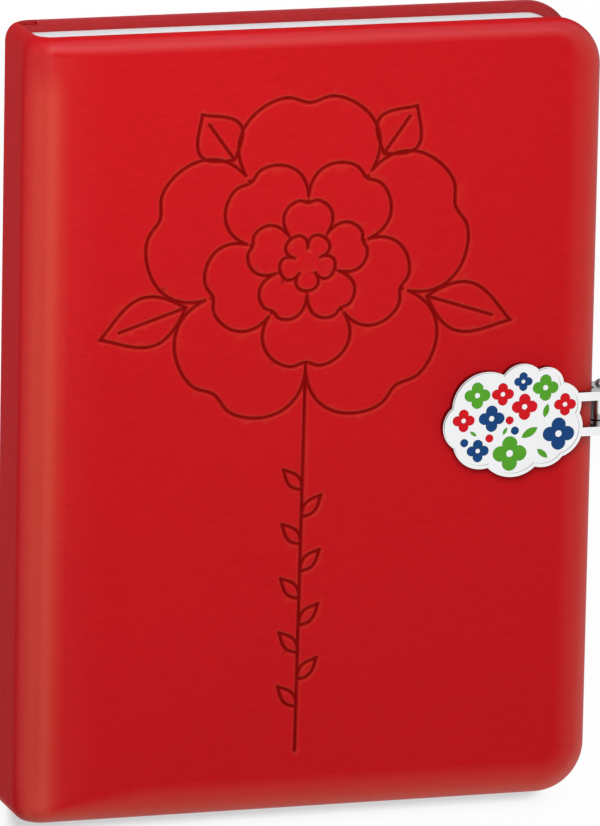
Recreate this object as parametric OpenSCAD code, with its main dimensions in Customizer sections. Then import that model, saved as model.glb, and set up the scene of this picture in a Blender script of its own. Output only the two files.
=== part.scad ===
// Padded journal with a hinged magnetic clasp.
// The journal lies closed on its back cover: X runs from spine to fore-edge,
// Y from tail to head and Z up through the covers. Millimetres.

/* [Pages] */
// Width of a page from its fold to the fore-edge
page_w = 146; // [120:1:180]
// Height of a page from tail to head
page_h = 200; // [160:1:240]
// Thickness of one folded signature
signature_t = 1.95; // [1.6:0.05:3]
// Radius of the page corners at the fore-edge
page_corner_r = 9.5; // [5:0.5:13]
// Thickness of a loose endpaper leaf
flyleaf_t = 0.2; // [0.15:0.05:0.4]
// Thickness of an endpaper pasted inside a cover
pastedown_t = 0.25; // [0.15:0.05:0.4]
// Bare margin between a pasted endpaper and the cover's edge
pastedown_margin = 3.2; // [2:0.2:6]
// Thickness of the cloth lining glued along the folds
mull_t = 0.3; // [0.2:0.05:0.6]
// Bare ends of the folds past the cloth lining
mull_margin = 12; // [5:1:25]

/* [Covers] */
// Overhang of the covers past the pages at the fore-edge
fore_square = 3.8; // [2.5:0.1:6]
// Overhang of the covers past the pages at head and tail
head_square = 3; // [2:0.1:5]
// Radius of the cover corners at the fore-edge, in plan
corner_r = 13; // [9:0.5:18]
// Radius of the soft roll round the outer edges of the covers
roll_r = 4; // [3:0.1:4.2]
// Thickness of the leather-like sheet that wraps the case
wrap_t = 0.8; // [0.5:0.05:1]
// Thickness of the stiff board in each cover
board_t = 2.2; // [1.8:0.1:2.6]
// Thickness of the foam pad between board and sheet
pad_t = 1.5; // [1:0.1:2.5]
// Width of the sheet turned in over the boards
turn_in = 12; // [8:0.5:18]
// Corner radius of the window that the turned-in sheet leaves
window_r = 5; // [2:0.5:8]

/* [Spine] */
// Outer radius of the soft corners between covers and spine
joint_r = 7.5; // [6:0.1:8.5]
// Distance from the back of the spine to the start of the boards
joint_x = 9; // [8.6:0.1:12]
// Depth of the spine sheet's closed ends
spine_t = 2.7; // [2.2:0.1:3.2]
// Radius of the roll at the head and tail of the spine
spine_roll_r = 2.4; // [1.6:0.1:2.6]
// Thickness of the stiff card in the spine
card_t = 1; // [0.6:0.1:1.3]
// Hollow between the spine's ends and the lined folds
spine_hollow = 0.6; // [0.4:0.1:1.5]

/* [Clasp plate] */
// Thickness of the clasp plate
plate_t = 2.4; // [2.1:0.1:3.5]
// Distance from the cover's fore-edge to the middle of the plate
plate_inset = 23.2; // [21:0.2:28]
// Place of the clasp along the fore-edge, from mid height
clasp_y = -1; // [-30:0.5:30]
// Width of the raised rim round the plate
rim_w = 1; // [0.6:0.1:1.6]
// Depth of the field inside the rim
field_depth = 0.2; // [0.1:0.05:0.4]
// Width and height of the bevel on the rim
rim_bevel = 0.3; // [0.1:0.05:0.5]
// Depth of the pockets that hold the enamel
enamel_depth = 0.35; // [0.2:0.05:0.45]
// Height of the enamel above the field
enamel_crown = 0.1; // [0.05:0.05:0.2]
// Radius of the magnet
magnet_r = 6; // [4:0.5:8]
// Thickness of the magnet
magnet_t = 1.3; // [0.8:0.1:1.4]
// Radius of the steel keeper under the front cover's sheet
keeper_r = 8; // [5:0.5:11]
// Thickness of the steel keeper
keeper_t = 0.5; // [0.3:0.05:0.8]

/* [Clasp hinges] */
// Width of each arm of the clasp plate
arm_w = 2.3; // [1.6:0.1:3.5]
// Radius of the arms round the upper pin
arm_r = 2.9; // [2.5:0.1:3.4]
// Radius of the rounded shoulder where an arm turns down
shoulder_r = 2.5; // [1.5:0.1:2.8]
// Leg of the gusset inside the turn of an arm
gusset = 2.4; // [1.2:0.1:2.6]
// Height of the upper pin below the face of the front cover
pin_drop = 6.4; // [5.5:0.1:8]
// Radius of both hinge pins
pin_r = 1; // [0.7:0.05:1.2]
// Radius of the domed pin heads
pin_head_r = 1.3; // [1.25:0.05:1.6]
// Width of the strap between the arms
strap_w = 6.6; // [5:0.1:10]
// Thickness of the strap
strap_t = 1.6; // [1.2:0.1:2]
// Radius of the strap's upper knuckle
knuckle_r = 2.6; // [2:0.1:2.8]
// Radius of the strap's lower knuckle and of the ears beside it
lower_knuckle_r = 2; // [1.8:0.1:2.6]
// Width of each ear of the anchor
ear_w = 1.8; // [1.4:0.1:3]
// Thickness of the anchor's leaf
leaf_t = 0.8; // [0.6:0.05:1]
// Length of the anchor's leaf inside the back cover
leaf_len = 17; // [13:0.5:24]
// Radius of the anchor's rivets
rivet_r = 1.1; // [0.8:0.05:1.3]
// Radius of the rivet heads
rivet_head_r = 1.9; // [1.5:0.1:2.2]
// Thickness of the rivet heads, let into the leaf
rivet_head_t = 0.35; // [0.2:0.05:0.45]

/* [Clearances] */
// Glue line round the pieces inside the case
glue_gap = 0.05; // [0.02:0.01:0.1]
// Parting between the pages that turn with the cover and the rest
part_gap = 0.05; // [0.02:0.01:0.2]
// Room between the closed front cover and the pages
lid_gap = 0.2; // [0.1:0.05:0.5]
// Gap between the closed clasp plate and the front cover
seat_gap = 0.3; // [0.2:0.05:0.5]
// Gap between the clasp's hinges and the fore-edge
fore_gap = 0.5; // [0.3:0.05:1]
// Side play between knuckles and the arms or ears beside them
side_gap = 0.2; // [0.1:0.05:0.4]
// Radial play of the strap's knuckles on the pins
run_gap = 0.06; // [0.03:0.01:0.1]
// Radial allowance of the pins in the arms and ears
pin_gap = 0.02; // [0.01:0.01:0.04]

/* [Hidden] */
$fn = 64;
signature_count = 10;
turned_count = 2;

cut = 1;
sheet_red = "#c8203a";
turned_red = "#a81c30";
paper_white = "#f4f1ea";
board_grey = "#9b9488";
foam_grey = "#d8d4cc";
cloth_white = "#e6e0d2";
chrome = "#dfe3e6";
steel = "#8e949a";

// Levels through the closed journal, from the back cover up
cover_t = wrap_t + pad_t + board_t;
back_flyleaf_z = cover_t + pastedown_t;
still_pages_z = back_flyleaf_z + flyleaf_t;
turned_pages_z = still_pages_z + (signature_count - turned_count) * signature_t + part_gap;
front_flyleaf_z = turned_pages_z + turned_count * signature_t;
front_pastedown_z = front_flyleaf_z + flyleaf_t + lid_gap;
front_inner_z = front_pastedown_z + pastedown_t;
case_t = front_inner_z + cover_t;

// Places from the back of the spine to the fore-edge
fold_x = spine_t + spine_hollow + mull_t + glue_gap;
fore_x = fold_x + page_w;
cover_w = fore_x + fore_square;
cover_h = page_h + 2 * head_square;
board_x = joint_x + 10 * glue_gap;

// The clasp
plate_x = cover_w - plate_inset;
plate_z = case_t + seat_gap;
plate_top = plate_z + plate_t;
hinge_x = cover_w + fore_gap + arm_r;
pin_z = case_t - pin_drop;
anchor_z = cover_t - leaf_t / 2;
knuckle_half = strap_w / 2;
arm_y = knuckle_half + side_gap;
leaf_w = 2 * (arm_y + ear_w);
leaf_x = cover_w - leaf_len;
rivet_x = leaf_x + 2 * rivet_head_r;
rivet_y = leaf_w / 4;
centre_x = (hinge_x + arm_r) / 2;

// Round lobes of the clasp plate, as centre and radius from the middle of the plate
lobes = [
    [-7, 3, 9.5], [2.5, 8, 6.2], [9, 8.3, 4.7], [12.5, 2.8, 6.1], [11.2, -3.4, 7.9],
    [8.2, -6.4, 7.1], [0, -6.5, 9.2], [-8.5, -5.5, 7.7], [-12.2, -1.8, 6.7], [2, 0, 9]];

// Enamel motifs: four-petalled blossoms and dots as place and radius,
// and leaves as place, length and turn
green_blossoms = [[-0.7, -9.4, 4.6], [-9.8, 6.4, 3.5], [8.7, 7.6, 3.5]];
blue_blossoms = [[12.5, -4.8, 4.3], [-5.8, 0.1, 3.5], [-9.4, -8.3, 3], [2.6, 9.5, 2.5]];
red_blossoms = [[3.1, 2.8, 3.5], [-13.4, -0.1, 3], [14.1, 2.9, 3], [-2.9, 6.4, 3]];
green_leaves = [
    [4.6, -4.1, 4.8, 30], [8.2, -9.8, 3.6, -40], [9, 1.5, 3.6, 75], [-2.1, -3.4, 2.1, 60],
    [-10.7, -3.7, 2.1, -35]];
blue_dots = [[0.6, -3.4, 1.1], [-13.1, -6, 1.1]];
red_dots = [[-6.3, -5.1, 1.1], [-0.9, -0.6, 1.1]];

// Puts the journal's middle over the origin
module placed() translate([-centre_x, 0, 0]) children();

// Carries a cover drawn with its inner face at zero to the front or to the back
module on_front() placed() translate([0, 0, front_inner_z]) children();
module on_back() placed() translate([0, 0, cover_t]) mirror([0, 0, 1]) children();

// Draws a side view, X across and Z up, through a width along Y
module through_y(y, width) translate([0, y + width, 0]) rotate([90, 0, 0]) linear_extrude(width) children();

module quarter(r) intersection() {
    circle(r);
    square(r);
}

// Plan of a leaf or board with two round corners at the fore-edge
module leaf_plan(x0, x1, height, r) {
    translate([x0, -height / 2]) square([x1 - x0 - r, height]);
    translate([x1 - r, -height / 2 + r]) square([r, height - 2 * r]);
    for (side = [0, 1]) mirror([0, side]) translate([x1 - r, height / 2 - r]) quarter(r);
}

// Section across a cover's edge, with its outer face on top
module edge_section(depth, thickness, r) {
    square([depth - r, thickness]);
    translate([depth - r, 0]) square([r, thickness - r]);
    translate([depth - r, thickness - r]) quarter(r);
}

// Board-shaped plate whose upper edges are rolled at head, tail and fore-edge
module rolled_plate(x0, x1, height, thickness, plan_r, r) {
    corner_x = x1 - plan_r;
    corner_y = height / 2 - plan_r;
    translate([x0, -corner_y, 0]) cube([corner_x - x0, 2 * corner_y, thickness]);
    translate([corner_x, corner_y, 0]) rotate([90, 0, 0])
        linear_extrude(2 * corner_y) edge_section(plan_r, thickness, r);
    for (side = [0, 1]) mirror([0, side, 0]) {
        translate([x0, corner_y, 0]) rotate([90, 0, 90])
            linear_extrude(corner_x - x0) edge_section(plan_r, thickness, r);
        translate([corner_x, corner_y, 0]) rotate_extrude(angle = 90) edge_section(plan_r, thickness, r);
    }
}

// Space inside a cover's sheet, less an allowance all round
module cover_core(allowance, from_z) {
    inset = wrap_t + allowance;
    intersection() {
        rolled_plate(joint_x - cut, cover_w - inset, cover_h - 2 * inset, cover_t - inset,
            corner_r - inset, roll_r - inset);
        translate([0, -cover_h, from_z]) cube([2 * cover_w, 2 * cover_h, cover_t]);
    }
}

module turn_in_window(allowance, height) linear_extrude(height)
    leaf_plan(joint_x - cut, cover_w - turn_in - allowance, cover_h - 2 * (turn_in + allowance), window_r);

module cover_sheet() difference() {
    rolled_plate(joint_x, cover_w, cover_h, cover_t, corner_r, roll_r);
    cover_core(0, wrap_t);
    translate([0, 0, -cut]) turn_in_window(0, wrap_t + 2 * cut);
}

module cover_pad() intersection() {
    cover_core(glue_gap, board_t);
    translate([board_x, -cover_h, 0]) cube([cover_w, 2 * cover_h, cover_t]);
}

// The board keeps inside the roll of the sheet, and its rim is pressed down under the turned-in sheet
module cover_board() {
    roll_inner = roll_r - wrap_t;
    board_rise = board_t - (cover_t - roll_r);
    inset = wrap_t + glue_gap + roll_inner - sqrt(pow(roll_inner, 2) - pow(board_rise, 2));
    intersection() {
        union() {
            translate([0, 0, wrap_t]) linear_extrude(board_t - wrap_t)
                leaf_plan(board_x, cover_w - inset, cover_h - 2 * inset, corner_r - inset);
            turn_in_window(glue_gap, wrap_t);
        }
        translate([board_x, -cover_h, 0]) cube([cover_w, 2 * cover_h, cover_t]);
    }
}

module cover_pastedown() translate([0, 0, -pastedown_t]) linear_extrude(pastedown_t)
    leaf_plan(board_x, cover_w - pastedown_margin, cover_h - 2 * pastedown_margin, corner_r - pastedown_margin);

// Room in the back cover for the clasp's anchor
module anchor_pocket() translate([leaf_x - glue_gap, clasp_y - leaf_w / 2 - glue_gap, -cut])
    cube([leaf_len + glue_gap + cut, leaf_w + 2 * glue_gap, leaf_t + cut]);

module rivet_holes(r, from_z, height) for (side = [-1, 1])
    translate([rivet_x, clasp_y + side * rivet_y, from_z]) cylinder(r = r, h = height);

module front_wrap() color(sheet_red) on_front() cover_sheet();

module back_wrap() color(sheet_red) on_back() difference() {
    cover_sheet();
    anchor_pocket();
}

module front_pad() color(foam_grey) on_front() difference() {
    cover_pad();
    translate([plate_x, clasp_y, cover_t - wrap_t - keeper_t - 2 * glue_gap])
        cylinder(r = keeper_r + glue_gap, h = keeper_t + cut);
}

module back_pad() color(foam_grey) on_back() cover_pad();

module front_board() color(board_grey) on_front() cover_board();

module back_board() color(board_grey) on_back() difference() {
    cover_board();
    anchor_pocket();
    rivet_holes(rivet_r + pin_gap, -cut, board_t + 2 * cut);
}

module front_pastedown() color(paper_white) on_front() cover_pastedown();

module back_pastedown() color(paper_white) on_back() cover_pastedown();

module keeper_plate() color(steel) on_front()
    translate([plate_x, clasp_y, cover_t - wrap_t - keeper_t - glue_gap]) cylinder(r = keeper_r, h = keeper_t);

// Outline of the spine sheet's section: its outer face lies at the depth given
module channel_outline(depth, height, r) {
    translate([-cut, -height / 2]) square([depth - r + cut, height]);
    translate([depth - r, -height / 2 + r]) square([r, height - 2 * r]);
    for (side = [0, 1]) mirror([0, side]) translate([depth - r, height / 2 - r]) quarter(r);
}

// The sheet is closed over the spine's head and tail
module channel_section() intersection() {
    difference() {
        channel_outline(spine_t, cover_h, spine_roll_r);
        channel_outline(spine_t - wrap_t, cover_h - 2 * wrap_t, spine_roll_r - wrap_t);
    }
    translate([0, -cover_h]) square([spine_t, 2 * cover_h]);
}

module channel_bend() rotate_extrude(angle = 90) translate([joint_r - spine_t, 0]) channel_section();

module spine_wrap() color(sheet_red) placed() {
    translate([spine_t, 0, joint_r]) mirror([1, 0, 0]) linear_extrude(case_t - 2 * joint_r) channel_section();
    translate([joint_r, 0, joint_r]) rotate([0, 180, 0]) rotate([90, 0, 0]) channel_bend();
    translate([joint_r, 0, spine_t]) rotate([0, 90, 0]) linear_extrude(joint_x - joint_r) channel_section();
}

// The flexible strip between spine and front cover
module front_joint() color(turned_red) placed() {
    translate([joint_r, 0, case_t - joint_r]) rotate([0, 0, 180]) rotate([90, 0, 0]) channel_bend();
    translate([joint_x, 0, case_t - spine_t]) rotate([0, -90, 0])
        linear_extrude(joint_x - joint_r) channel_section();
}

module spine_card() color(board_grey) placed()
    translate([wrap_t + glue_gap, -cover_h / 2 + spine_roll_r, joint_r])
        cube([card_t, cover_h - 2 * spine_roll_r, case_t - 2 * joint_r]);

module spine_mull() color(cloth_white) placed()
    translate([fold_x - glue_gap - mull_t, -page_h / 2 + mull_margin, still_pages_z])
        cube([mull_t, page_h - 2 * mull_margin, front_flyleaf_z - still_pages_z]);

// A folded signature: its fold is half round
module signature(i) {
    fold_r = signature_t / 2;
    base_z = i > turned_count
        ? still_pages_z + (signature_count - i) * signature_t
        : turned_pages_z + (turned_count - i) * signature_t;
    color(paper_white) placed() translate([0, 0, base_z]) {
        linear_extrude(signature_t) leaf_plan(fold_x + fold_r, fore_x, page_h, page_corner_r);
        through_y(-page_h / 2, page_h) translate([fold_x + fold_r, fold_r]) intersection() {
            circle(fold_r);
            translate([-signature_t, -signature_t]) square([signature_t, 2 * signature_t]);
        }
    }
}

module flyleaf(z) color(paper_white) placed() translate([0, 0, z]) linear_extrude(flyleaf_t)
    leaf_plan(fold_x, fore_x, page_h, page_corner_r);

module front_flyleaf() flyleaf(front_flyleaf_z);

module back_flyleaf() flyleaf(back_flyleaf_z);

// Cylinder along Y at a place in the side view
module barrel(x, z, r, y, width) translate([x, y + width, z]) rotate([90, 0, 0]) cylinder(r = r, h = width);

module pin_bore(z, r) barrel(hinge_x, z, r, clasp_y - 2 * leaf_w, 4 * leaf_w);

module hinge_pin(z, half_length) color(chrome) placed() translate([hinge_x, clasp_y, z]) rotate([90, 0, 0]) {
    translate([0, 0, -half_length]) cylinder(r = pin_r, h = 2 * half_length);
    for (side = [0, 1]) mirror([0, 0, side]) translate([0, 0, half_length])
        rotate_extrude() quarter(pin_head_r);
}

module clasp_pin() hinge_pin(pin_z, arm_y + arm_w + pin_gap);

module anchor_pin() hinge_pin(anchor_z, arm_y + ear_w + pin_gap);

module clasp_anchor() color(chrome) placed() difference() {
    root_x = hinge_x - lower_knuckle_r - fore_gap;
    union() {
        translate([leaf_x, clasp_y - leaf_w / 2, cover_t - leaf_t]) cube([root_x - leaf_x, leaf_w, leaf_t]);
        for (y = [clasp_y - arm_y - ear_w, clasp_y + arm_y]) {
            translate([root_x, y, cover_t - leaf_t]) cube([hinge_x - root_x, ear_w, leaf_t]);
            barrel(hinge_x, anchor_z, lower_knuckle_r, y, ear_w);
        }
    }
    pin_bore(anchor_z, pin_r + pin_gap);
    rivet_holes(rivet_r + pin_gap, 0, case_t);
    rivet_holes(rivet_head_r + pin_gap, cover_t - rivet_head_t - glue_gap, case_t);
}

module anchor_rivets() color(steel) placed() {
    rivet_holes(rivet_r, cover_t - board_t, board_t - rivet_head_t);
    rivet_holes(rivet_head_r, cover_t - rivet_head_t, rivet_head_t);
}

module clasp_strap() color(chrome) placed() difference() {
    union() {
        translate([hinge_x - strap_t / 2, clasp_y - knuckle_half, anchor_z])
            cube([strap_t, strap_w, pin_z - anchor_z]);
        barrel(hinge_x, pin_z, knuckle_r, clasp_y - knuckle_half, strap_w);
        barrel(hinge_x, anchor_z, lower_knuckle_r, clasp_y - knuckle_half, strap_w);
    }
    pin_bore(pin_z, pin_r + run_gap);
    pin_bore(anchor_z, pin_r + run_gap);
}

module lobed_outline(inset) for (lobe = lobes) translate([lobe[0], lobe[1]]) circle(lobe[2] - inset);

module blossom(r, shrink) difference() {
    union() {
        circle(r * 0.5);
        for (turn = [0 : 90 : 270]) rotate(turn) translate([r * 0.55, 0]) circle(r * 0.45 - shrink);
    }
    circle(r * 0.2 + shrink);
}

// Almond between two equal arcs
module leaf_motif(length, shrink) {
    arc_r = length * 0.72;
    offset_y = length * 0.5;
    intersection_for(side = [-1, 1]) translate([0, side * offset_y]) circle(arc_r - shrink);
}

module motifs(blossoms, leaves, dots, shrink) {
    for (b = blossoms) translate([b[0], b[1]]) blossom(b[2], shrink);
    for (l = leaves) translate([l[0], l[1]]) rotate(l[3]) leaf_motif(l[2], shrink);
    for (d = dots) translate([d[0], d[1]]) circle(d[2] - shrink);
}

module on_plate(z) translate([plate_x, clasp_y, z]) children();

module green_motifs(shrink) motifs(green_blossoms, green_leaves, [], shrink);

module blue_motifs(shrink) motifs(blue_blossoms, [], blue_dots, shrink);

module red_motifs(shrink) motifs(red_blossoms, [], red_dots, shrink);

field_z = plate_top - field_depth;

module enamel_fill() on_plate(field_z - enamel_depth) linear_extrude(enamel_depth + enamel_crown) children();

module green_enamel() color("#6fae4a") placed() enamel_fill() green_motifs(glue_gap);

module blue_enamel() color("#2f7fc0") placed() enamel_fill() blue_motifs(glue_gap);

module red_enamel() color("#c8203a") placed() enamel_fill() red_motifs(glue_gap);

// Side view of an arm: a bar level with the plate that turns down over the fore-edge to the pin
module arm_profile() {
    left = hinge_x - arm_r;
    right = hinge_x + arm_r;
    translate([plate_x + knuckle_half, plate_z]) square([left - plate_x - knuckle_half, plate_t]);
    translate([left, pin_z]) square([right - left, plate_top - shoulder_r - pin_z]);
    translate([left, plate_top - shoulder_r]) square([right - left - shoulder_r, shoulder_r]);
    translate([right - shoulder_r, plate_top - shoulder_r]) quarter(shoulder_r);
    polygon([[left - gusset, plate_z], [left, plate_z - gusset], [left, plate_z]]);
    translate([hinge_x, pin_z]) circle(arm_r);
}

module clasp_plate() color(chrome) placed() difference() {
    union() {
        on_plate(plate_z) linear_extrude(plate_t - rim_bevel) lobed_outline(0);
        on_plate(plate_top - rim_bevel) linear_extrude(rim_bevel) lobed_outline(rim_bevel);
        for (y = [clasp_y - arm_y - arm_w, clasp_y + arm_y]) through_y(y, arm_w) arm_profile();
    }
    on_plate(field_z) linear_extrude(plate_t) lobed_outline(rim_w);
    on_plate(field_z - enamel_depth) linear_extrude(plate_t) {
        green_motifs(0);
        blue_motifs(0);
        red_motifs(0);
    }
    on_plate(plate_z - cut) cylinder(r = magnet_r + glue_gap, h = magnet_t + glue_gap + cut);
    pin_bore(pin_z, pin_r + pin_gap);
}

module clasp_magnet() color(steel) placed() on_plate(plate_z) cylinder(r = magnet_r, h = magnet_t);

back_wrap();
back_pad();
back_board();
back_pastedown();
back_flyleaf();
spine_wrap();
spine_card();
spine_mull();
front_joint();
front_wrap();
front_pad();
front_board();
front_pastedown();
front_flyleaf();
keeper_plate();
for (i = [1 : signature_count]) signature(i);
clasp_anchor();
anchor_rivets();
anchor_pin();
clasp_strap();
clasp_plate();
clasp_pin();
clasp_magnet();
green_enamel();
blue_enamel();
red_enamel();
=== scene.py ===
# %% [markdown]
# # A padded journal with a magnetic clasp
# The journal's solids were made in CAD and arrive here as a frame of named nodes that already sit in
# their places, in metres. This lesson keeps the rigid pieces, such as the clasp and the page blocks,
# and gives them better finishes. It makes the soft sheet round the case anew, because pressed lines
# and a bending joint need a finer mesh than a solid carries.

# %% Load the frame
from math import cos, exp, pi, radians, sin

import bmesh
import bpy
from mathutils import Matrix, Vector, kdtree
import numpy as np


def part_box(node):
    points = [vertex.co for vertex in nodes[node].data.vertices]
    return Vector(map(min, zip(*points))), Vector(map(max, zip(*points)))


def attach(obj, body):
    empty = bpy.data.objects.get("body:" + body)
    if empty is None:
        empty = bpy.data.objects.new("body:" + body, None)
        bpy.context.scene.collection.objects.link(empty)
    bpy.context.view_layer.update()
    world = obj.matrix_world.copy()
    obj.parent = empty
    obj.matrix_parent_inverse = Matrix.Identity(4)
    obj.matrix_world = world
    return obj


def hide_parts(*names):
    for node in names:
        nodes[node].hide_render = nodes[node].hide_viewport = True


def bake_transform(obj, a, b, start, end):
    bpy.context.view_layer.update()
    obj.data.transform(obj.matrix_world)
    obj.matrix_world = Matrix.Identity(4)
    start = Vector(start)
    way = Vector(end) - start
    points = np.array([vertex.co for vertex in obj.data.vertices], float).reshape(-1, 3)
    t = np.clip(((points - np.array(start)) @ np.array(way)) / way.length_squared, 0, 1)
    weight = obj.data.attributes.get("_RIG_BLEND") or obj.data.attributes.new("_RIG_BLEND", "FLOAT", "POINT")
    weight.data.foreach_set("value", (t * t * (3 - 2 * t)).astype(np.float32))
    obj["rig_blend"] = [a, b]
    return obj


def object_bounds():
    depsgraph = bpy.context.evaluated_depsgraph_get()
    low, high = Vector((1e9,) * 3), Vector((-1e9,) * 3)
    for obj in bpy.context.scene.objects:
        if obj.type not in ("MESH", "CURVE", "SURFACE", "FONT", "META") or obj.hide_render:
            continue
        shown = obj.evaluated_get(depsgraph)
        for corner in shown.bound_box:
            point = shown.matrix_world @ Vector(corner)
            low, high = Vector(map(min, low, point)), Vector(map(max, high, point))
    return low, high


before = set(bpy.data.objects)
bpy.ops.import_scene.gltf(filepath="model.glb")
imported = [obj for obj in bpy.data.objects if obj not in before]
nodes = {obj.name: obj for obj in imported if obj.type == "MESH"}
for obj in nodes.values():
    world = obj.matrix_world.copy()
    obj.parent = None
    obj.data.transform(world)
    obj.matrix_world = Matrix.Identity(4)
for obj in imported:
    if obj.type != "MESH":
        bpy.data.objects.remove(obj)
cad_box = [list(corner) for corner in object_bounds()]
MM = 0.001
TINY = 1e-6
print("CAD box in mm:", [[round(value / MM, 2) for value in corner] for corner in cad_box])

# %% [markdown]
# A case-bound book has a few levels and lengths that everything else hangs on. They are read from the
# boxes of the CAD nodes and not typed in again, so that the soft pieces still fit if the solids change.

# %% The case's main places
cover_low, cover_high = (Vector(corner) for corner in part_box("front_wrap"))
spine_low = Vector(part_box("spine_wrap")[0])
pages_low = Vector(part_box("signature_1")[0])
joint_low = Vector(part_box("front_joint")[0])
SHEET = 0.8 * MM
ROLL_DEEP, ROLL_WIDE, HEAD_ROLL_WIDE = 3.3 * MM, 9 * MM, 4.7 * MM
NARROWING = 26 * MM
EDGE = 1.1 * MM
CORNER = 13 * MM
TURN_IN = 12 * MM
JOINT = 7.5 * MM
SPINE_DEPTH = 3.35 * MM
joint_x = spine_low.x + JOINT
joint_z = cover_high.z - JOINT
print("cover", [round(v / MM, 2) for v in cover_high - cover_low], "joint from", round(joint_low.z / MM, 2))

# %% [markdown]
# A shader is easier to read as maths than as a long list of links. Wire stands for one output of a
# node, and Python's own operators on it add the Math nodes. Finish holds a material: its node method
# adds any other node, sets the options first, and then fills or links the sockets.


# %% Helpers for materials
class Wire:
    """An output socket that Python's operators can work on."""

    def __init__(self, finish, socket):
        self.finish, self.socket = finish, socket

    def maths(self, operation, first, second):
        return self.finish.node("ShaderNodeMath", {0: first, 1: second}, operation=operation)

    def __add__(self, other):
        return self.maths("ADD", self, other)

    def __sub__(self, other):
        return self.maths("SUBTRACT", self, other)

    def __rsub__(self, other):
        return self.maths("SUBTRACT", other, self)

    def __mul__(self, other):
        return self.maths("MULTIPLY", self, other)

    __radd__, __rmul__ = __add__, __mul__


class Finish:
    """A material, or the world, whose nodes are added one at a time."""

    def __init__(self, name, owner=None, **constants):
        self.owner = owner or bpy.data.materials.new(name)
        self.owner.use_nodes = True
        self.tree = self.owner.node_tree
        self.shader = self.tree.nodes.get("Background" if owner else "Principled BSDF")
        for socket, value in constants.items():
            self.shader.inputs[socket.replace("_", " ")].default_value = value

    def node(self, kind, sockets=None, out=0, stops=None, **settings):
        made = self.tree.nodes.new(kind)
        for name, value in settings.items():
            setattr(made, name, value)
        if stops:
            ramp = made.color_ramp.elements
            ramp[0].position, ramp[0].color = stops[0]
            ramp[1].position, ramp[1].color = stops[-1]
            for place, colour in stops[1:-1]:
                ramp.new(place).color = colour
        for name, value in (sockets or {}).items():
            if isinstance(value, Wire):
                self.tree.links.new(value.socket, made.inputs[name])
            else:
                made.inputs[name].default_value = value
        return Wire(self, made.outputs[out])

    def place(self):
        return self.node("ShaderNodeTexCoord", out="Object")

    def stored(self, name, out="Fac"):
        """A value that is stored on the mesh."""
        return self.node("ShaderNodeAttribute", out=out, attribute_name=name)

    def level(self):
        """How level a face is: 1 if it lies flat and 0 if it is upright."""
        normal = self.node("ShaderNodeTexCoord", out="Normal")
        facing = self.node("ShaderNodeSeparateXYZ", {"Vector": normal}, out="Z")
        return facing.maths("ABSOLUTE", facing, 0)

    def seen(self):
        """1 for a ray from the camera, straight or by way of something that mirrors or lets through."""
        camera, glossy, through = (self.node("ShaderNodeLightPath", out=f"Is {kind} Ray")
                                   for kind in ("Camera", "Glossy", "Transmission"))
        return camera + glossy + through

    def mix(self, share, first, second):
        """A colour between two colours."""
        return self.node("ShaderNodeMix", {0: share, 6: first, 7: second}, out=2, data_type="RGBA")

    def feed(self, **wires):
        for socket, wire in wires.items():
            self.tree.links.new(wire.socket, self.shader.inputs[socket.replace("_", " ")])

    def bump(self, height, strength, distance):
        self.feed(Normal=self.node(
            "ShaderNodeBump", {"Strength": strength, "Distance": distance, "Height": height}))


def grey(value):
    return value, value, value, 1


BLACK, WHITE = grey(0), grey(1)
print("material helpers ready")

# %% [markdown]
# The sheet is a smooth, dyed, leather-like plastic on cloth. Its grain is so fine that it only breaks
# up the gloss. Where a hot tool has pressed a line, the dye looks darker, and painted shade deepens the
# groove; the turned-in ring gets the same painted shade. Hands rub the rolled edges and the joint, which
# are shinier than the flats, and a paler, warmer painted sheen stands in for their highlight. The
# patterns read a position and three amounts that are stored on each vertex, so that they don't slide
# when the joint bends.

# %% The red sheet
DEEP_RED, BRIGHT_RED = (0.45, 0.0077, 0.0102, 1), (0.612, 0.0115, 0.0160, 1)
# The first of these is a painted sheen, and the second is the dark red of pressed dye and painted shade.
PAINTED_SHEEN_RED, PRESSED_AND_SHADED_RED = (0.62, 0.078, 0.037, 1), (0.19, 0.002, 0.002, 1)
sheet_red = Finish("dyed_sheet", Specular_IOR_Level=0.015, IOR=1.45, Coat_Roughness=0.36, Coat_IOR=1.9)
at_rest = sheet_red.stored("rest", "Vector")
pressed, handled, painted_sheen = (sheet_red.stored(name) for name in ("pressed", "worn", "painted_sheen"))
cloudy = sheet_red.node("ShaderNodeTexNoise", {"Vector": at_rest, "Scale": 22, "Detail": 3})
fine = sheet_red.node("ShaderNodeTexNoise", {"Vector": at_rest, "Scale": 1900, "Detail": 2})
pebbles = sheet_red.node("ShaderNodeTexVoronoi", {"Vector": at_rest, "Scale": 1500, "Smoothness": 0.6},
                         feature="SMOOTH_F1")
drawn = sheet_red.node("ShaderNodeMapping", {"Vector": at_rest, "Scale": (260, 900, 600)})
creases = sheet_red.node("ShaderNodeTexNoise", {"Vector": drawn, "Scale": 1, "Detail": 3, "Distortion": 0.6})
fresh = sheet_red.mix(cloudy * 0.3 + fine * 0.3 + creases * 0.6, DEEP_RED, BRIGHT_RED)
# Painted sheen: the paler, warmer red mixed in here stands in for the highlight on the rolled edges and along
# the joint.
dye_and_painted_sheen = sheet_red.mix(painted_sheen * (0.5 + fine * 0.2), fresh, PAINTED_SHEEN_RED)
# Painted shade: the dark red deepens the pressed lines, partly as dye darkened by the hot tool and partly as
# painted shade, and is painted shade on the turned-in ring.
sheet_red.feed(
    Base_Color=sheet_red.mix(pressed * 0.9, dye_and_painted_sheen, PRESSED_AND_SHADED_RED),
    Roughness=0.50 + fine * 0.08 - pressed * 0.1,
    Coat_Weight=handled * (0.88 + fine * 0.24),
)
sheet_red.bump(pebbles * 0.7 + fine * 0.5 + creases * 1.2, 0.6, 0.12 * MM)
print("red sheet:", len(sheet_red.tree.nodes), "nodes")

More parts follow.
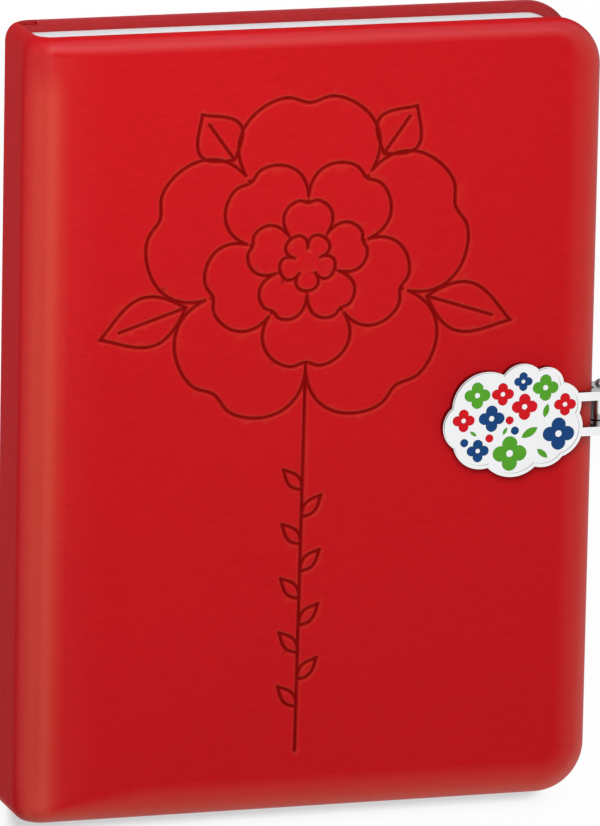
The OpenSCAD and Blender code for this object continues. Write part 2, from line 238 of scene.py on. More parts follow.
# %% [markdown]
# Writing paper is seen in two ways here. The cut edges of hundreds of leaves show as fine lines that
# run along the block, and the open faces have a faint tooth and pale ruled lines. One pattern of noise
# that is stretched flat gives the leaves, because on a face that lies flat it doesn't change. The
# ruling is a wave of which only the crests show, and only where the face is level. Pages that bend
# read their place from the mesh, as the sheet does.

# %% The papers
PAGE_WHITE, PAGE_SHADE = (0.88, 0.905, 0.93, 1), (0.80, 0.825, 0.855, 1)
END_WHITE, END_SHADE = (0.90, 0.88, 0.84, 1), (0.84, 0.82, 0.77, 1)
RULE_BLUE = (0.55, 0.60, 0.68, 1)
RULING, PAGE_LEAF, END_LEAF = 7 * MM, 0.16 * MM, 0.3 * MM


def paper(name, light, dark, leaf, ruling=0, bends=False):
    """A paper finish with leaves of that thickness at its cut edges, and rules on its faces."""
    made = Finish(name, Specular_IOR_Level=0.2)
    place = made.stored("rest", "Vector") if bends else made.place()
    level = made.stored("level") if bends else made.level()
    flat = made.node("ShaderNodeMapping", {"Vector": place, "Scale": (3, 3, 1 / leaf)})
    leaves = made.node("ShaderNodeTexNoise", {"Vector": flat, "Scale": 1, "Detail": 2, "Roughness": 0.7})
    tooth = made.node("ShaderNodeTexNoise", {"Vector": place, "Scale": 2500, "Detail": 2})
    lines = made.node("ShaderNodeValToRGB", {"Fac": leaves}, stops=[(0.35, BLACK), (0.65, WHITE)])
    colour = made.mix(level, made.mix(lines, dark, light), light)
    if ruling:
        wave = made.node("ShaderNodeTexWave", {"Vector": place, "Scale": pi / 10 / ruling},
                         bands_direction="Y")
        crest = made.node("ShaderNodeValToRGB", {"Fac": wave}, stops=[(0.988, BLACK), (0.998, WHITE)])
        colour = made.mix(crest * level, colour, RULE_BLUE)
    made.feed(Base_Color=colour, Roughness=0.78 + tooth * 0.15)
    made.bump(lines * (1 - level) * 0.8 + tooth * 0.25, 0.25, 0.04 * MM)
    return made


writing_paper = paper("page_stock", PAGE_WHITE, PAGE_SHADE, PAGE_LEAF, RULING)
turning_paper = paper("turning_page_stock", PAGE_WHITE, PAGE_SHADE, PAGE_LEAF, RULING, bends=True)
endpaper = paper("end_stock", END_WHITE, END_SHADE, END_LEAF)
turning_endpaper = paper("turning_end_stock", END_WHITE, END_SHADE, END_LEAF, bends=True)
print("papers:", writing_paper.owner.name, endpaper.owner.name)

# %% [markdown]
# The clasp is cast, plated and polished, and its pockets are filled with glossy enamel. Plated metal
# is all reflection, so its detail is in the roughness: faint streaks left by the polishing wheel. The
# steep sides get a dark painted shade that draws the clasp's outline. The steel that hides inside the
# covers is plain and duller.

# %% Metals and enamels


def metal(name, colour, side, rough, streak):
    """A metal with faint polishing streaks along X, and a painted shade colour on its steep sides."""
    made = Finish(name, Metallic=1.0)
    drawn = made.node("ShaderNodeMapping", {"Vector": made.place(), "Scale": (220, 2600, 2600)})
    streaks = made.node("ShaderNodeTexNoise", {"Vector": drawn, "Scale": 1, "Detail": 3})
    cloud = made.node("ShaderNodeTexNoise", {"Vector": made.place(), "Scale": 160, "Detail": 2})
    dull = tuple(value * 0.93 for value in colour[:3]) + (1,)
    steep_painted_shade = made.node("ShaderNodeValToRGB", {"Fac": made.level()}, stops=[(0.35, WHITE), (0.93, BLACK)])
    made.feed(Base_Color=made.mix(steep_painted_shade * (0.75 + cloud * 0.3), made.mix(cloud, dull, colour), side),
              Roughness=rough + streaks * streak)
    made.bump(streaks, 0.05, 0.02 * MM)
    return made


def enamel(name, deep, bright):
    """A glassy fill that is a little deeper in places."""
    made = Finish(name, IOR=1.5, Specular_IOR_Level=0.12)
    pool = made.node("ShaderNodeTexNoise", {"Vector": made.place(), "Scale": 420, "Detail": 2})
    made.feed(Base_Color=made.mix(pool, deep, bright), Roughness=0.14 + pool * 0.12)
    made.bump(pool, 0.08, 0.05 * MM)
    return made


# The second colour of each metal is the painted shade on its steep sides.
bright_metal = metal("polished_plating", (0.90, 0.905, 0.915, 1), (0.13, 0.13, 0.14, 1), 0.05, 0.10)
plain_steel = metal("plain_steel", (0.50, 0.52, 0.54, 1), (0.36, 0.37, 0.39, 1), 0.26, 0.20)
green_fill = enamel("green_glaze", (0.075, 0.33, 0.018, 1), (0.10, 0.40, 0.026, 1))
blue_fill = enamel("blue_glaze", (0.005, 0.045, 0.17, 1), (0.007, 0.065, 0.23, 1))
red_fill = enamel("red_glaze", (0.60, 0.004, 0.010, 1), (0.70, 0.007, 0.015, 1))
print("metals and enamels ready")

# %% [markdown]
# Grey board, foam and lining cloth only show when the journal lies open, and then only at an edge.
# They still get a finish of their own: fibres for the board, cells for the foam and an open weave for
# the cloth.

# %% Board, foam and lining


def filler(name, light, dark, stretch, depth):
    """A plain material with a grain that is stretched by a scale along each axis."""
    made = Finish(name, Specular_IOR_Level=0.15)
    drawn = made.node("ShaderNodeMapping", {"Vector": made.place(), "Scale": stretch})
    grain = made.node("ShaderNodeTexNoise", {"Vector": drawn, "Scale": 1, "Detail": 4, "Roughness": 0.65})
    made.feed(Base_Color=made.mix(grain, dark, light), Roughness=0.80 + grain * 0.15)
    made.bump(grain, 0.4, depth)
    return made


grey_board = filler("board_fibre", (0.40, 0.37, 0.33, 1), (0.24, 0.22, 0.20, 1), (700, 250, 2500), 0.08 * MM)
foam = filler("pad_foam", (0.74, 0.72, 0.68, 1), (0.60, 0.58, 0.54, 1), (1500, 1500, 1500), 0.15 * MM)
lining = Finish("spine_cloth", Roughness=0.9, Specular_IOR_Level=0.1)
threads = [
    lining.node("ShaderNodeTexWave", {"Vector": lining.place(), "Scale": 260, "Distortion": 0.8},
                bands_direction=direction) for direction in "YZ"]
lining.feed(Base_Color=lining.mix(threads[0] * threads[1], (0.55, 0.51, 0.43, 1), (0.82, 0.78, 0.70, 1)))
lining.bump(threads[0] + threads[1], 0.5, 0.1 * MM)
print("board, foam and lining ready")

# %% [markdown]
# A CAD node keeps its mesh and only changes its material. One short list says which node gets which
# finish. The nodes of the red sheet aren't in it, because new pieces stand for them further on.

# %% Dress the CAD nodes


def dress(finish, *names):
    """Gives a finish to CAD nodes, which keep their meshes."""
    for name in names:
        for slot in nodes[name].material_slots:
            slot.material = finish.owner


signatures = sorted(name for name in nodes if name.startswith("signature_"))
dress(writing_paper, *signatures)
dress(endpaper, "front_flyleaf", "back_flyleaf", "front_pastedown", "back_pastedown")
dress(bright_metal, "clasp_plate", "clasp_pin", "clasp_strap", "clasp_anchor", "anchor_pin")
dress(plain_steel, "clasp_magnet", "keeper_plate", "anchor_rivets")
dress(green_fill, "green_enamel")
dress(blue_fill, "blue_enamel")
dress(red_fill, "red_enamel")
dress(grey_board, "front_board", "back_board", "spine_card")
dress(foam, "front_pad", "back_pad")
dress(lining, "spine_mull")
print("dressed the CAD nodes,", len(signatures), "of them signatures")

# %% [markdown]
# The soft pieces are built with bmesh operators. A few small helpers come first. They test where a
# vertex lies, round edges, cut a mesh with a plane, draw edges out, and turn a finished mesh into an
# object.

# %% Helpers for meshes


def on_plane(vert, axis, place):
    return abs(vert.co[axis] - place) < TINY


def all_on_plane(part, axis, place):
    """Whether a whole edge or face lies on a plane across an axis."""
    return all(on_plane(vert, axis, place) for vert in part.verts)


def round_edges(bm, edges, radius, segments):
    bmesh.ops.bevel(bm, geom=edges, offset=radius, offset_type="OFFSET", segments=segments, profile=0.5,
                    affect="EDGES", material=-1)


def cut(bm, place, normal, parts=None):
    """Cuts the whole mesh, or only some parts of it, with a plane."""
    bmesh.ops.bisect_plane(bm, geom=parts or [*bm.verts, *bm.edges, *bm.faces], plane_co=place,
                           plane_no=normal, dist=TINY)


def draw_out(bm, edges, shift):
    """Extrudes edges by a shift, and returns the parts that were made."""
    made = bmesh.ops.extrude_edge_only(bm, edges=edges)["geom"]
    bmesh.ops.translate(bm, vec=shift, verts=[part for part in made if isinstance(part, bmesh.types.BMVert)])
    return made


def as_object(name, bm, finish):
    """An object of a finished mesh, with its material."""
    mesh = bpy.data.meshes.new(name)
    bm.to_mesh(mesh)
    bm.free()
    mesh.materials.append(finish.owner)
    made = bpy.data.objects.new(name, mesh)
    bpy.context.collection.objects.link(made)
    return made


print("mesh helpers ready")

# %% [markdown]
# The front cover's sheet is one skin: flat on top, rolled over the three free edges, turned in behind
# the board, and carried round the joint to the spine. It starts as a box. Bevels give the round corners,
# the soft roll and the fold at the back. The roll is then stretched in from the outline, so that it is
# wider than it is deep, and less so along the head and next to the spine. An inset leaves the
# turned-in ring.

# %% A box with rolled edges
CORNER_STEPS, ROLL_STEPS, EDGE_STEPS = 16, 12, 4


def from_outline(place):
    """The direction in from the cover's outline, and how far in a place is."""
    out = Vector((place.x - cover_high.x + CORNER, abs(place.y) - cover_high.y + CORNER, 0))
    if out.x > 0 and out.y > 0:
        depth = CORNER - out.length
        out.normalize()
    else:
        depth = CORNER - max(out.x, out.y)
        out = Vector((1, 0, 0)) if out.x > out.y else Vector((0, 1, 0))
    return Vector((-out.x, -out.y if place.y > 0 else out.y, 0)), depth


def rolled_box():
    """The front cover's outside with its round corners, its roll and its turned-in ring."""
    bm = bmesh.new()
    bmesh.ops.create_cube(bm, size=1)
    bmesh.ops.scale(bm, vec=cover_high - cover_low, verts=bm.verts)
    bmesh.ops.translate(bm, vec=(cover_high + cover_low) / 2, verts=bm.verts)
    upright = [e for e in bm.edges if all_on_plane(e, 0, cover_high.x)
               and abs(e.verts[0].co.z - e.verts[1].co.z) > TINY]
    round_edges(bm, upright, CORNER, CORNER_STEPS)
    for level, radius, steps in (cover_high.z, ROLL_DEEP, ROLL_STEPS), (cover_low.z, EDGE, EDGE_STEPS):
        rim = [e for e in bm.edges if all_on_plane(e, 2, level) and not all_on_plane(e, 0, cover_low.x)]
        round_edges(bm, rim, radius, steps)
    cut(bm, (cover_low.x + NARROWING, 0, 0), (1, 0, 0))
    for vert in bm.verts:
        if vert.co.z > cover_high.z - ROLL_DEEP + TINY:
            inward, depth = from_outline(vert.co)
            narrow = inward.y ** 2 if vert.co.y > 0 or on_plane(vert, 0, cover_low.x) else 0
            wide = ROLL_WIDE + (HEAD_ROLL_WIDE - ROLL_WIDE) * narrow
            vert.co += inward * depth * (wide / ROLL_DEEP - 1)
    open_end = [f for f in bm.faces if all_on_plane(f, 0, cover_low.x)]
    bmesh.ops.delete(bm, geom=open_end, context="FACES")
    inside = [f for f in bm.faces if all_on_plane(f, 2, cover_low.z)]
    bmesh.ops.inset_region(bm, faces=inside, thickness=TURN_IN, use_even_offset=True)
    bmesh.ops.delete(bm, geom=inside, context="FACES")
    return bm


front, back = rolled_box(), rolled_box()
print("two rolled boxes of", len(front.faces), "faces")

# %% [markdown]
# Pressed lines and a bending sheet need a grid, so the outside of each skin is cut into strips both
# ways, finely on the front. The open end is then drawn out to the joint, spun a quarter turn round it,
# and on the back cover drawn on along the spine. A lip is turned in at the head and the tail, so that
# the ends look folded. The back cover is the same skin mirrored, and its ring runs on past the joint.

# %% Strips and the joint
FINE_GRID, COARSE_GRID = 2.4 * MM, 12 * MM
JOINT_STEPS = 14
LIP_ZONE, LIP = 1.5 * MM, 5.5 * MM
PAST_JOINT = 2.7 * MM


def cut_into_strips(bm, spacing):
    """Cuts the outside into a grid."""
    for axis in (0, 1):
        reach = cover_high[axis] - cover_low[axis]
        count = round(reach / spacing)
        for i in range(1, count):
            outside = [f for f in bm.faces if f.normal.z > -0.5]
            parts = {part for f in outside for part in (*f.verts, *f.edges)} | set(outside)
            normal = Vector((axis == 0, axis == 1, 0))
            cut(bm, normal * (cover_low[axis] + reach * i / count), normal, list(parts))


def add_joint(bm, spine_length):
    """Carries the open end round the joint and down the spine, and turns in its two ends."""
    level = cover_high.z - SPINE_DEPTH
    cut(bm, (0, 0, level), (0, 0, 1))
    end = [e for e in bm.edges if e.is_boundary and all_on_plane(e, 0, cover_low.x)
           and all(v.co.z > level - TINY for v in e.verts)]
    made = draw_out(bm, end, (joint_x - cover_low.x, 0, 0))
    end = [part for part in made if not isinstance(part, bmesh.types.BMFace)
           and all(on_plane(v, 0, joint_x) for v in getattr(part, "verts", [part]))]
    last = bmesh.ops.spin(bm, geom=end, cent=(joint_x, 0, joint_z), axis=(0, -1, 0), angle=pi / 2,
                          steps=JOINT_STEPS, use_duplicate=False)["geom_last"]
    if spine_length:
        draw_out(bm, [part for part in last if isinstance(part, bmesh.types.BMEdge)], (0, 0, -spine_length))
    for side in (-1, 1):
        lip = [e for e in bm.edges if e.is_boundary
               and all(v.co.y * side > cover_high.y - LIP_ZONE for v in e.verts)
               and min(v.co.x for v in e.verts) < cover_low.x - TINY
               and not all_on_plane(e, 2, joint_z - spine_length)]
        draw_out(bm, lip, (0, -side * LIP, 0))


cut_into_strips(front, FINE_GRID)
add_joint(front, 0)
cut_into_strips(back, COARSE_GRID)
add_joint(back, joint_z - (cad_box[0][2] + JOINT))
ring_end = [e for e in back.edges if e.is_boundary
            and all_on_plane(e, 0, cover_low.x) and all_on_plane(e, 2, cover_low.z)]
draw_out(back, ring_end, (spine_low.x + PAST_JOINT - cover_low.x, 0, 0))
bmesh.ops.scale(back, vec=(1, 1, -1), verts=back.verts)
bmesh.ops.translate(back, vec=(0, 0, cover_high.z + cad_box[0][2]), verts=back.verts)
print("front skin", len(front.faces), "faces, back skin", len(back.faces), "faces")

# %% [markdown]
# The front carries a flower and a sprig pressed into it as lines. A rosette is an old ornament that
# needs only a few rules: each ring is a scalloped curve round the middle, and each next ring is turned
# by half a petal. The lines are rows of close points, in millimetres from the flower's middle. Three
# functions draw a ring, a leaf and a straight line.

# %% How a line is drawn
PETALS = 5
RING_POINTS, STEP = 2400, 0.12
ROUNDNESS, NOTCH_WIDTH = 2.6, 0.16
RIB_SHARE = 0.78


def ring(inner, outer, turn, notch):
    """A scalloped ring of petals, each with a shallow notch at its tip."""
    points = []
    for i in range(RING_POINTS):
        angle = 2 * pi * i / RING_POINTS
        off = (angle * PETALS / pi) % 2 - 1
        bulge = (1 - abs(off) ** ROUNDNESS) ** 0.5
        radius = inner + (outer - inner) * bulge - notch * exp(-(off / NOTCH_WIDTH) ** 2)
        points.append(Vector((cos(angle + turn), sin(angle + turn))) * radius)
    return points


def leaf(base, heading, length, width, rib=True):
    """The outline of a pointed leaf, with the rib along its middle."""
    along = Vector((cos(heading), sin(heading)))
    across = Vector((-along.y, along.x))
    steps = int(length / STEP)
    points = []
    for i in range(steps + 1):
        t = i / steps
        half = width / 2 * sin(pi * t ** 0.85) ** 1.15
        points += [base + along * length * t + across * half, base + along * length * t - across * half]
        if rib and t < RIB_SHARE:
            points.append(base + along * length * t)
    return points


def straight(start, end):
    steps = int((end - start).length / STEP)
    return [start.lerp(end, i / steps) for i in range(steps + 1)]


print("rings, leaves and straight lines can be drawn")

# %% [markdown]
# The ornament itself is a few rows of numbers. Each ring has an inner and an outer radius, a turn and
# the depth of its notches. A leaf stands in each gap between the outer petals, except where the stem
# starts, and small leaves stand along the stem on both sides in turn.

# %% The lines to press
FLOWER = Vector((-5.2, 42.3))
UP, HALF_PETAL = pi / 2, pi / PETALS
RINGS = ((27, 44, UP + HALF_PETAL, 2.4), (16, 28, UP, 1.6),
         (8, 16.4, UP + HALF_PETAL, 0.9), (3.6, 7.6, UP, 0))
LEAF_BASE, LEAF_WIDTH, SIDE_LEAF, TOP_LEAF = 34, 13, 24, 15
STEM_TOP, STEM_END = Vector((0, -27)), Vector((-1, -129.5))
SPRIGS, SPRIG_TURN, SPRIG_LENGTH, SPRIG_WIDTH = 9, 0.75, 7.6, 3.2
SPRIG_START, SPRIG_STEP = Vector((-0.3, -60)), Vector((-0.06, -7.2))
lines = [point for shape in RINGS for point in ring(*shape)]
for i in range(PETALS):
    cusp = UP + HALF_PETAL + 2 * HALF_PETAL * i
    at_stem, at_side = sin(cusp) < -0.9, cos(cusp) ** 2 > 0.5
    if not at_stem:
        base = Vector((cos(cusp), sin(cusp))) * LEAF_BASE
        lines += leaf(base, cusp, SIDE_LEAF if at_side else TOP_LEAF, LEAF_WIDTH)
lines += straight(STEM_TOP, STEM_END)
for i in range(SPRIGS):
    heading = UP - SPRIG_TURN if i % 2 else UP + SPRIG_TURN
    lines += leaf(SPRIG_START + SPRIG_STEP * i, heading, SPRIG_LENGTH, SPRIG_WIDTH, rib=False)
print(len(lines), "points on the pressed lines")

# %% [markdown]
# Pressing means pushing the skin down near a line. The grid is made finer only where a line passes,
# in three rounds, and a tree of points answers how far each vertex is from the nearest line. The
# distance is also kept as numbers on the vertex: one for the darker dye and painted shade in the line,
# and one for a painted highlight on the line's far rim, whose slope faces the lamp.

# %% Press the lines
PRESS, HALF_LINE = 0.5 * MM, 0.68 * MM
NEAR_CELL, NEAR_LINE = 0.55, 6
FAINT, DARKEN = 0.001, 1.5
PAINTED_RIM_WIDTH = 0.4
FROM_LAMP = Vector((0.55, -0.83, 0))
tree = kdtree.KDTree(len(lines))
for i, point in enumerate(lines):
    place = (point + FLOWER) * MM
    tree.insert((place.x, place.y, cover_high.z), i)
tree.balance()
for cell in (FINE_GRID, FINE_GRID / 2, FINE_GRID / 4):
    near = [e for e in front.edges if all_on_plane(e, 2, cover_high.z)
            and tree.find((e.verts[0].co + e.verts[1].co) / 2)[2] < HALF_LINE + NEAR_CELL * cell]
    bmesh.ops.subdivide_edges(front, edges=near, cuts=1, use_grid_fill=True)

pressed_layer = front.verts.layers.float.new("pressed")
painted_rim_highlight_layer = front.verts.layers.float.new("rim")
for vert in front.verts:
    if on_plane(vert, 2, cover_high.z):
        nearest, _, gap = tree.find(vert.co)
        off = gap / HALF_LINE
        # Painted highlight: a pale band on the far rim of each groove, whose slope faces the lamp.
        away = max(0, (vert.co - nearest).normalized().dot(FROM_LAMP))
        vert[painted_rim_highlight_layer] = away * exp(-((off - 1) / PAINTED_RIM_WIDTH) ** 2)
        depth = max(0, 1 - off * off) ** 2
        vert.co.z -= PRESS * depth
        # The darker amount stands for dye darkened by the hot tool and for painted shade in the groove.
        if off < NEAR_LINE:
            vert[pressed_layer] = max(FAINT, min(1, depth * DARKEN))
print("front skin with pressed lines:", len(front.faces), "faces")

# %% [markdown]
# On the real journal nothing is stiff between the board and the spine. The padding thins out towards
# the joint, so the front slopes off softly there. It is a smooth shift of the vertices that are already
# there, which fades out at the head and the tail, where the roll has its own shape.

# %% Let the joint settle
SOFT = 21 * MM
SLOPE = 2.0 * MM
SLOPE_FADE = 14 * MM


def ease(share):
    """A smooth step from 0 to 1."""
    share = min(1, max(0, share))
    return share * share * (3 - 2 * share)


for vert in front.verts:
    softness = max(0, 1 - (vert.co.x - spine_low.x) / SOFT) ** 2
    top = ease((vert.co.z - joint_z) / JOINT)
    vert.co.z -= SLOPE * softness * top * ease((cover_high.y - abs(vert.co.y)) / SLOPE_FADE)
print("joint settled by up to", SLOPE / MM, "mm")

# %% [markdown]
# Shine and painted sheen follow the shape. Two functions answer, for one place on the sheet, how shiny
# hands have made it and how much painted sheen, a paler and warmer dye that stands in for the highlight,
# it gets. The first only looks at the way the place faces: tilt is 0 on a flat and 1 on an upright side.
# The second paints two highlight streaks along the joint, each with a strength, a distance from the spine
# and a half width in millimetres, and painted sheen on the rolled edges.

# %% Shine and painted sheen on the sheet
EDGE_SHINE, HEAD_SHINE, JOINT_SHINE = 0.54, 0.8, 0.4
HEAD_FADE, JOINT_FADE = (0.08, 0.3), (0.1, 0.6)
TAIL_SHEEN, FORE_EDGE_SHEEN = 0.64, 0.28
FULL_TILT = 0.06
# Each painted highlight streak along the joint: strength, distance from the spine and half width in mm.
HIGHLIGHT_STREAKS = ((0.68, 3.3, 1.5), (0.85, 7.0, 2.1))
STREAK_GAP, STREAK_FADE = 4 * MM, 14 * MM


def left(tilt, start, width):
    """How much of the shine is left where the tilt is past the start of its fade."""
    return 1 - ease((tilt - start) / width)


def shine(normal):
    """How much hands have polished a place: most at the rolled edges, and not on the upright spine."""
    tilt = 1 - abs(normal.z)
    side = Vector((normal.x, normal.y))
    if side.length < TINY:
        return 0
    side.normalize()
    to_spine = side.x ** 2 if side.x < 0 else 0
    to_head = side.y ** 2 if side.y > 0 else 0
    most = EDGE_SHINE
    most += to_head * (HEAD_SHINE * left(tilt, *HEAD_FADE) - EDGE_SHINE)
    most += to_spine * (JOINT_SHINE * left(tilt, *JOINT_FADE) - EDGE_SHINE)
    return most * min(1, tilt / FULL_TILT) ** 0.5


def painted_sheen_amount(place, normal):
    """How much painted sheen a place gets: two painted highlight streaks along the joint, and the edges, most
    at the tail.
    """
    along = (place.x - spine_low.x) / MM
    streaks = sum(strength * exp(-((along - middle) / half) ** 2) for strength, middle, half in HIGHLIGHT_STREAKS)
    streaks *= ease((cover_high.y - place.y - STREAK_GAP) / STREAK_FADE)
    tilt = 1 - abs(normal.z)
    sideways = max(TINY, normal.x ** 2 + normal.y ** 2)
    # Painted sheen on the rolled edges, most at the tail and less at the fore-edge.
    edges = (TAIL_SHEEN * max(0, -normal.y) ** 2 + FORE_EDGE_SHEEN * max(0, normal.x) ** 2) / sideways
    return max(streaks, edges * min(1, tilt / FULL_TILT) ** 0.45)


print("wear: shine up to", HEAD_SHINE, "and rubbed edges up to", TAIL_SHEEN)

# %% [markdown]
# Both skins are now surfaces without thickness. A Solidify modifier gives the sheet its 0.8 mm,
# inwards, and its result is written back to the mesh so that sharp edges can be marked by their angle.
# The wear and the painted light are stored on the vertices before that. The turned-in ring, which faces
# the pages, has one even shine and painted shade.

# %% Make a sheet
SAME_PLACE = 1e-7
# Strength of the painted highlight on the far rims of pressed lines.
PAINTED_RIM_HIGHLIGHT = 0.55
# The turned-in ring's shine, and the painted shade on it.
FACES_IN, INNER_SHINE, INNER_PAINTED_SHADE = -0.3, 0.45, 0.6
SHEET_CREASE = radians(55)


def store_wear_and_painted_light(bm, outwards):
    """Keeps the place, the shine, the painted sheen and the dark dye with painted shade of each vertex in
    layers of the mesh.
    """
    floats = bm.verts.layers.float
    rest = bm.verts.layers.float_vector.new("rest")
    worn = floats.new("worn")
    painted_sheen_layer = floats.new("painted_sheen")
    dark = floats.get("pressed") or floats.new("pressed")
    rim = floats.get("rim")
    for vert in bm.verts:
        vert[rest] = vert.co
        vert[worn] = shine(vert.normal)
        vert[painted_sheen_layer] = painted_sheen_amount(vert.co, vert.normal)
        if vert.normal.z * outwards < FACES_IN:
            # Painted shade: the turned-in ring gets the dark red as shade.
            vert[worn], vert[dark], vert[painted_sheen_layer] = INNER_SHINE, INNER_PAINTED_SHADE, 0
        elif vert[dark] > 0:
            vert[worn] = 0
            # Painted highlight: the pale rim along a pressed line joins the painted sheen.
            vert[painted_sheen_layer] = max(vert[painted_sheen_layer], PAINTED_RIM_HIGHLIGHT * vert[rim])


def sheet_piece(name, bm, outwards):
    """An object of that skin, which faces up or down, with the sheet's thickness and finish."""
    bmesh.ops.remove_doubles(bm, verts=bm.verts, dist=SAME_PLACE)
    bmesh.ops.recalc_face_normals(bm, faces=bm.faces)
    highest = max(bm.faces, key=lambda f: f.calc_center_median().z * outwards)
    if highest.normal.z * outwards < 0:
        bmesh.ops.reverse_faces(bm, faces=bm.faces)
    bm.normal_update()
    store_wear_and_painted_light(bm, outwards)
    for face in bm.faces:
        face.smooth = True
    piece = as_object(name, bm, sheet_red)
    wall = piece.modifiers.new("sheet", "SOLIDIFY")
    wall.thickness, wall.offset = SHEET, -1
    solid = bpy.data.meshes.new_from_object(piece.evaluated_get(bpy.context.evaluated_depsgraph_get()))
    piece.modifiers.clear()
    piece.data = solid
    solid.set_sharp_from_angle(angle=SHEET_CREASE)
    print(name, len(solid.vertices), "vertices", len(solid.polygons), "faces")
    return piece


front_sheet = sheet_piece("front_sheet", front, 1)
back_sheet = sheet_piece("back_sheet", back, -1)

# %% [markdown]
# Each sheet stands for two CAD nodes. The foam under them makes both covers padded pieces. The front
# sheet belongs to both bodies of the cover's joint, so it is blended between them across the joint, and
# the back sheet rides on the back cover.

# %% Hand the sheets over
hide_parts("front_wrap", "front_joint")
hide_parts("back_wrap", "spine_wrap")
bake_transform(front_sheet, "back_cover", "front_cover",
         start=(spine_low.x + 0.5 * MM, 0, 0), end=(cover_low.x, 0, 0))
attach(back_sheet, "back_cover")
print("sheets:", front_sheet.name, "bends at the joint,", back_sheet.name, "stays")

# %% [markdown]
# The first signatures and the loose endpaper turn with the cover. Paper is sewn at the fold, so it
# curves over in the gutter and doesn't swing as a block. A copy of each solid gets cuts near its fold,
# and a blend between the two bodies bends it there.

# %% Pages that turn
BEND = 8 * MM
CUTS = 14
LEVEL = 0.7
PAGE_CREASE = radians(40)


def turning_page(name, node, finish):
    """A copy of a page solid that bends near its fold."""
    bm = bmesh.new()
    bm.from_mesh(nodes[node].data)
    bmesh.ops.remove_doubles(bm, verts=bm.verts, dist=TINY)
    for i in range(1, CUTS):
        cut(bm, (pages_low.x + BEND * i / CUTS, 0, 0), (1, 0, 0))
    rest = bm.verts.layers.float_vector.new("rest")
    level = bm.faces.layers.float.new("level")
    bm.normal_update()
    for vert in bm.verts:
        vert[rest] = vert.co
    for face in bm.faces:
        face[level] = float(abs(face.normal.z) > LEVEL)
        face.smooth = True
    page = as_object(name, bm, finish)
    page.data.set_sharp_from_angle(angle=PAGE_CREASE)
    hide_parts(node)
    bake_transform(page, "back_cover", "front_pages", start=(pages_low.x, 0, 0), end=(pages_low.x + BEND, 0, 0))
    low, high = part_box(node)
    print(name, len(page.data.polygons), "faces, thickness", round((high[2] - low[2]) / MM, 2), "mm")


turning_page("turning_signature_1", "signature_1", turning_paper)
turning_page("turning_signature_2", "signature_2", turning_paper)
turning_page("turning_flyleaf", "front_flyleaf", turning_endpaper)

# %% [markdown]
# The camera repeats the photograph's view. Its place and turn come from a fit of the case's straight
# edges, so they are written as numbers: where it stands, and its right, up and back directions. The
# long lens keeps the edges almost parallel.

# %% The camera
right = Vector((0.955065, 0.018722, 0.295806))
up = Vector((0.050269, 0.973314, -0.223904))
behind = Vector((-0.292104, 0.228713, 0.928636))
view = bpy.data.cameras.new("view")
view.sensor_width = 36
view.lens = 456.57
camera = bpy.data.objects.new("view", view)
bpy.context.collection.objects.link(camera)
camera.matrix_world = Matrix((right, up, behind)).transposed().to_4x4()
camera.location = (-0.792101, 0.617786, 2.527168)
bpy.context.scene.camera = camera
print("camera", [round(v, 3) for v in camera.location], "lens", view.lens)

# %% [markdown]
# The floor is plain white paper. To the camera and in reflections it is part light of its own, so that
# it stays white beyond the shadow without more light on the journal. To every other ray it is ordinary
# paper. Just past the journal's tail less of its own light is mixed in, which paints a soft contact
# shadow there in which the lamps' real shade shows.

# %% The floor
SHADOW, SIDE_SHADOW, NO_SHADOW = 15 * MM, 18 * MM, 15 * MM
FLOOR_SIZE, FLOOR_GAP = 2, 0.2 * MM
floor_white = Finish("floor_white", Base_Color=grey(0.95), Roughness=0.9, Specular_IOR_Level=0.0)
glow = floor_white.node("ShaderNodeEmission", {"Color": WHITE, "Strength": 1.0})
spot = floor_white.place()
across, along = (floor_white.node("ShaderNodeSeparateXYZ", {"Vector": spot}, out=axis) for axis in "XY")
outside = along.maths("MAXIMUM", along - cad_box[1][1], cad_box[0][0] - across) + NO_SHADOW
for past in (cad_box[0][1] - along, across - cad_box[1][0] + SIDE_SHADOW):
    outside = floor_white.node("ShaderNodeMath", {0: outside, 1: past, 2: SHADOW / 2}, operation="SMOOTH_MAX")
# Painted shadow: the glow is lower within about a centimetre past the journal's tail, fading out towards the
# fore-edge corner.
share = floor_white.node("ShaderNodeValToRGB", {"Fac": outside * (1 / SHADOW)}, stops=[
    (0.56, grey(0.40)), (0.70, grey(0.88)), (0.85, grey(0.96))])
both = floor_white.node("ShaderNodeMixShader", {
    0: floor_white.seen() * share, 1: Wire(floor_white, floor_white.shader.outputs[0]), 2: glow})
floor_white.tree.links.new(both.socket, floor_white.tree.nodes["Material Output"].inputs["Surface"])
floor_bm = bmesh.new()
bmesh.ops.create_grid(floor_bm, x_segments=4, y_segments=4, size=FLOOR_SIZE)
bmesh.ops.translate(floor_bm, vec=(0, 0, cad_box[0][2] - FLOOR_GAP), verts=floor_bm.verts)
floor = as_object("floor", floor_bm, floor_white)
print("floor at", round(cad_box[0][2] / MM, 2), "mm")

# %% [markdown]
# Soft light comes from three places, and the first is a pale world that lights everything evenly.
# Polished metal needs something to reflect, so reflections see a white ceiling and white walls with a
# grey band between them. The walls are a little warm, and cool at the head. The Standard view shows
# the colours as they are.

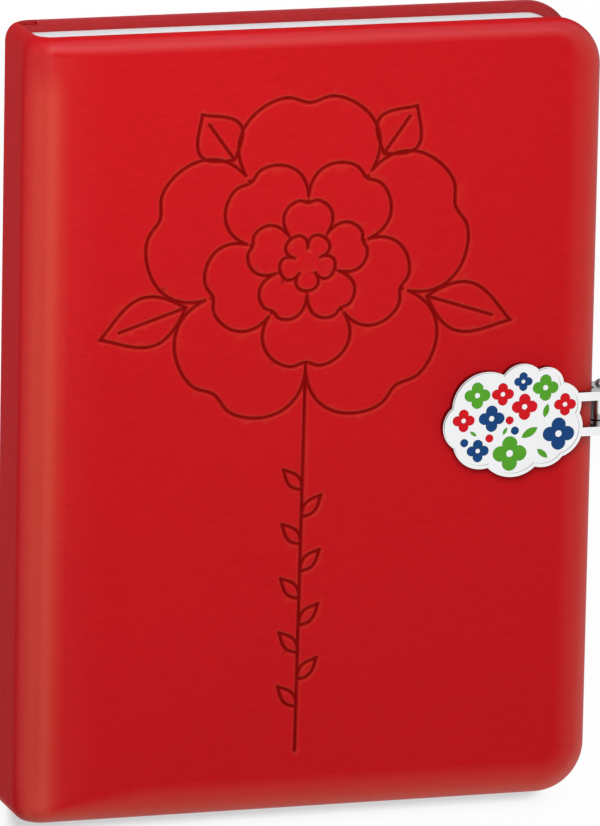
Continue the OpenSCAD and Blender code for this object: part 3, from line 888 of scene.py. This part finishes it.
# %% The world
AROUND = 0.32
BAND = grey(0.4)
WARM, COOL = (1, 0.96, 0.79, 1), (0.87, 0.98, 1.28, 1)
world = bpy.data.worlds.new("studio")
bpy.context.scene.world = world
studio = Finish("studio", owner=world)
mirrored = studio.node("ShaderNodeLightPath", out="Is Glossy Ray")
direction = studio.node("ShaderNodeTexCoord", out="Generated")
headward, upward = (studio.node("ShaderNodeSeparateXYZ", {"Vector": direction}, out=axis) for axis in "YZ")
walls = studio.node("ShaderNodeValToRGB", {"Fac": upward}, stops=[
    (0.0, WHITE), (0.34, WHITE), (0.46, BAND), (0.74, BAND), (0.88, WHITE)])
ceiling = studio.node("ShaderNodeValToRGB", {"Fac": upward}, stops=[(0.74, BLACK), (0.88, WHITE)])
tint = studio.node("ShaderNodeValToRGB", {"Fac": headward}, stops=[(0.35, WARM), (0.7, COOL)])
studio.feed(
    Strength=(AROUND + studio.seen() * (1 - AROUND)) * (1 - mirrored) + mirrored * walls,
    Color=studio.mix(mirrored, WHITE, studio.mix(ceiling, tint, WHITE)),
)
bpy.context.scene.view_settings.view_transform = "Standard"
print("world:", len(studio.tree.nodes), "nodes")

# %% [markdown]
# The other two are lamps. A large one above the head of the journal makes the cover brighter there
# than at the tail. A weak one that stands low lights the cut edges of the pages at the tail and the
# fore-edge.

# %% Lamps
LAMP_SIZE = 0.3
AIM = Vector((0, 0, 0.02))


def lamp(name, energy, place):
    """A square lamp that points at the journal and isn't seen in reflections."""
    light = bpy.data.lights.new(name, "AREA")
    light.shape, light.size, light.energy = "SQUARE", LAMP_SIZE, energy
    made = bpy.data.objects.new(name, light)
    bpy.context.collection.objects.link(made)
    made.location = place
    made.visible_glossy = False
    made.rotation_euler = (AIM - made.location).to_track_quat("-Z", "Y").to_euler()
    print("lamp", name, energy, "W")


lamp("key", 2.1, (-0.11, 0.25, 0.45))
lamp("fill", 0.55, (0.30, -0.32, 0.05))

# %% [markdown]
# The size of the dressed journal has to stay that of the solids. The scene is brought up to date last.

# %% Bring the scene up to date
bpy.context.view_layer.update()
